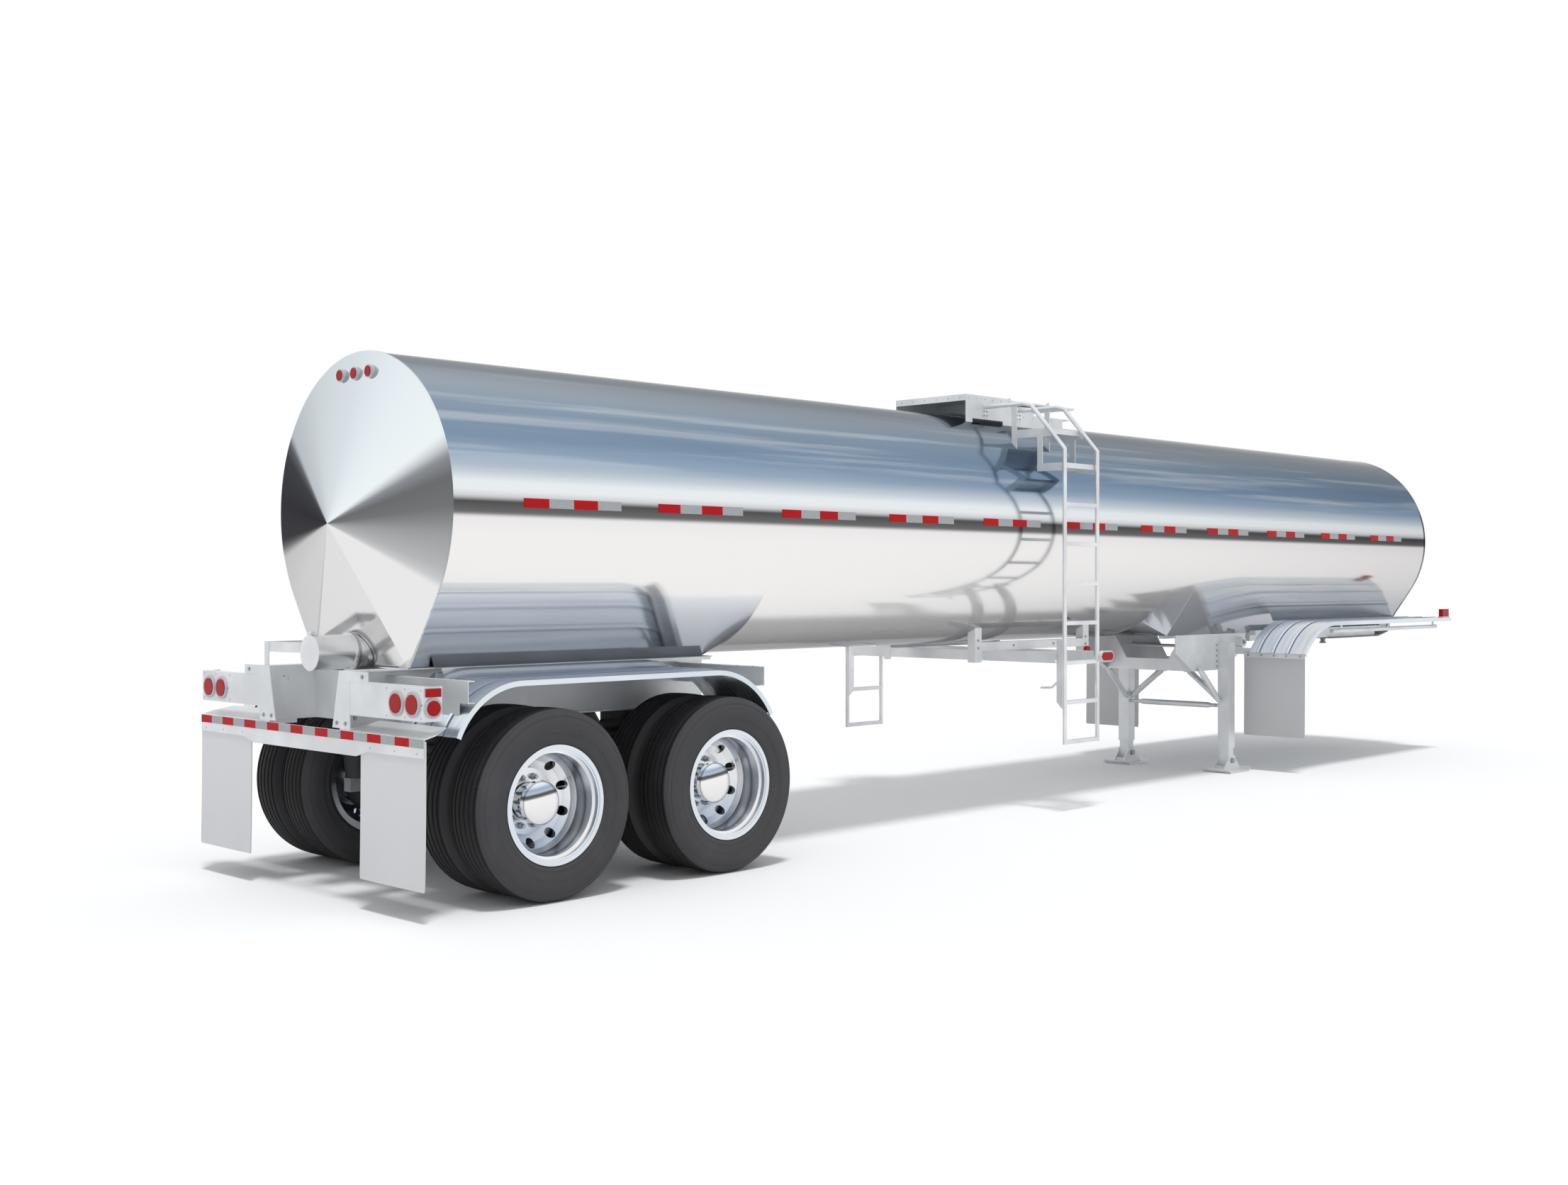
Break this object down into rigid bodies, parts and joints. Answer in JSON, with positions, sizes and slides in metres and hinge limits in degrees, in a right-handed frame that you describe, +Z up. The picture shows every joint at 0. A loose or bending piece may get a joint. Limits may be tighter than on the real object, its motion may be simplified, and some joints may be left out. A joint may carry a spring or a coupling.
{
  "type": "tank semi-trailer",
  "caption": "Insulated road tank semi-trailer with a polished cylindrical jacket, tandem rear axles, side ladders, top manhole box, rear outlet and lowered landing gear.",
  "frame": {"origin": "on the floor under the middle of the overall box", "axes": "+X towards the coupler end, +Y to the left, +Z up"},
  "size_m": [13.0622, 2.4386, 3.276],
  "materials": {
    "polished_stainless": "mirror polished",
    "sheet_stainless": "bright rolled",
    "satin_stainless": "satin",
    "painted_steel": "satin",
    "coupler_steel": "satin",
    "hub_iron": "satin",
    "polished_aluminium": "polished",
    "tyre_rubber": "matte",
    "bellows_rubber": "matte",
    "flap_rubber": "matte",
    "lamp_ring_plastic": "gloss",
    "white_plastic": "gloss",
    "red_lens": "gloss"
  },
  "bodies": {
    "trailer": {"air_springs": "bellows_rubber", "axles": "painted_steel", "belly_frame": "satin_stainless", "bumper": "satin_stainless", "cap_hoop": "satin_stainless", "fender_brackets": "satin_stainless", "fender_front_left": "sheet_stainless", "fender_front_right": "sheet_stainless", "fender_rear_left": "sheet_stainless", "fender_rear_right": "sheet_stainless", "flap_hangers": "satin_stainless", "frame_rails": "satin_stainless", "front_flaps": "flap_rubber", "front_head": "polished_stainless", "gear_frame": "satin_stainless", "hose_hook": "satin_stainless", "jacket_front": "polished_stainless", "jacket_middle": "polished_stainless", "jacket_rear": "polished_stainless", "kingpin": "coupler_steel", "ladder_left": "satin_stainless", "ladder_right": "satin_stainless", "lamp_bezels": "lamp_ring_plastic", "lamp_lenses": "red_lens", "lamp_panels": "satin_stainless", "landing_legs": "satin_stainless", "leg_braces": "satin_stainless", "leg_feet": "satin_stainless", "manhole_body": "satin_stainless", "manhole_neck": "sheet_stainless", "marker_housings": "white_plastic", "nose_rails": "satin_stainless", "nose_tubes": "satin_stainless", "outlet_can": "sheet_stainless", "rear_flaps": "flap_rubber", "rear_head": "polished_stainless", "steps_left": "satin_stainless", "steps_right": "satin_stainless", "suspension": "painted_steel", "top_housing": "satin_stainless", "upper_coupler": "coupler_steel", "vent_dome": "sheet_stainless"},
    "wheelset_front_left": {"tyres_front_left": "tyre_rubber", "wheels_front_left": "polished_aluminium", "hub_front_left": "hub_iron"},
    "wheelset_front_right": {"tyres_front_right": "tyre_rubber", "wheels_front_right": "polished_aluminium", "hub_front_right": "hub_iron"},
    "wheelset_rear_left": {"tyres_rear_left": "tyre_rubber", "wheels_rear_left": "polished_aluminium", "hub_rear_left": "hub_iron"},
    "wheelset_rear_right": {"tyres_rear_right": "tyre_rubber", "wheels_rear_right": "polished_aluminium", "hub_rear_right": "hub_iron"},
    "outlet_cap_lid": {"outlet_cap": "sheet_stainless"},
    "manhole_cover": {"box_cover": "satin_stainless"}
  },
  "joints": [
    {"name": "rear_left_wheels_turn", "type": "hinge", "parent": "trailer", "child": "wheelset_rear_left", "pos_m": [-5.63685, 0.902, 0.538], "axis": [0, 1, 0], "continuous": true},
    {"name": "rear_right_wheels_turn", "type": "hinge", "parent": "trailer", "child": "wheelset_rear_right", "pos_m": [-5.63685, -0.902, 0.538], "axis": [0, 1, 0], "continuous": true},
    {"name": "front_left_wheels_turn", "type": "hinge", "parent": "trailer", "child": "wheelset_front_left", "pos_m": [-4.29785, 0.902, 0.538], "axis": [0, 1, 0], "continuous": true},
    {"name": "front_right_wheels_turn", "type": "hinge", "parent": "trailer", "child": "wheelset_front_right", "pos_m": [-4.29785, -0.902, 0.538], "axis": [0, 1, 0], "continuous": true},
    {"name": "outlet_cap_opens", "type": "hinge", "parent": "trailer", "child": "outlet_cap_lid", "pos_m": [-6.47315, 0, 1.487], "axis": [0, 1, 0], "range_deg": [0, 110]},
    {"name": "manhole_cover_opens", "type": "hinge", "parent": "trailer", "child": "manhole_cover", "pos_m": [0.04315, 0.375, 3.245], "axis": [-1, 0, 0], "range_deg": [0, 95]}
  ]
}
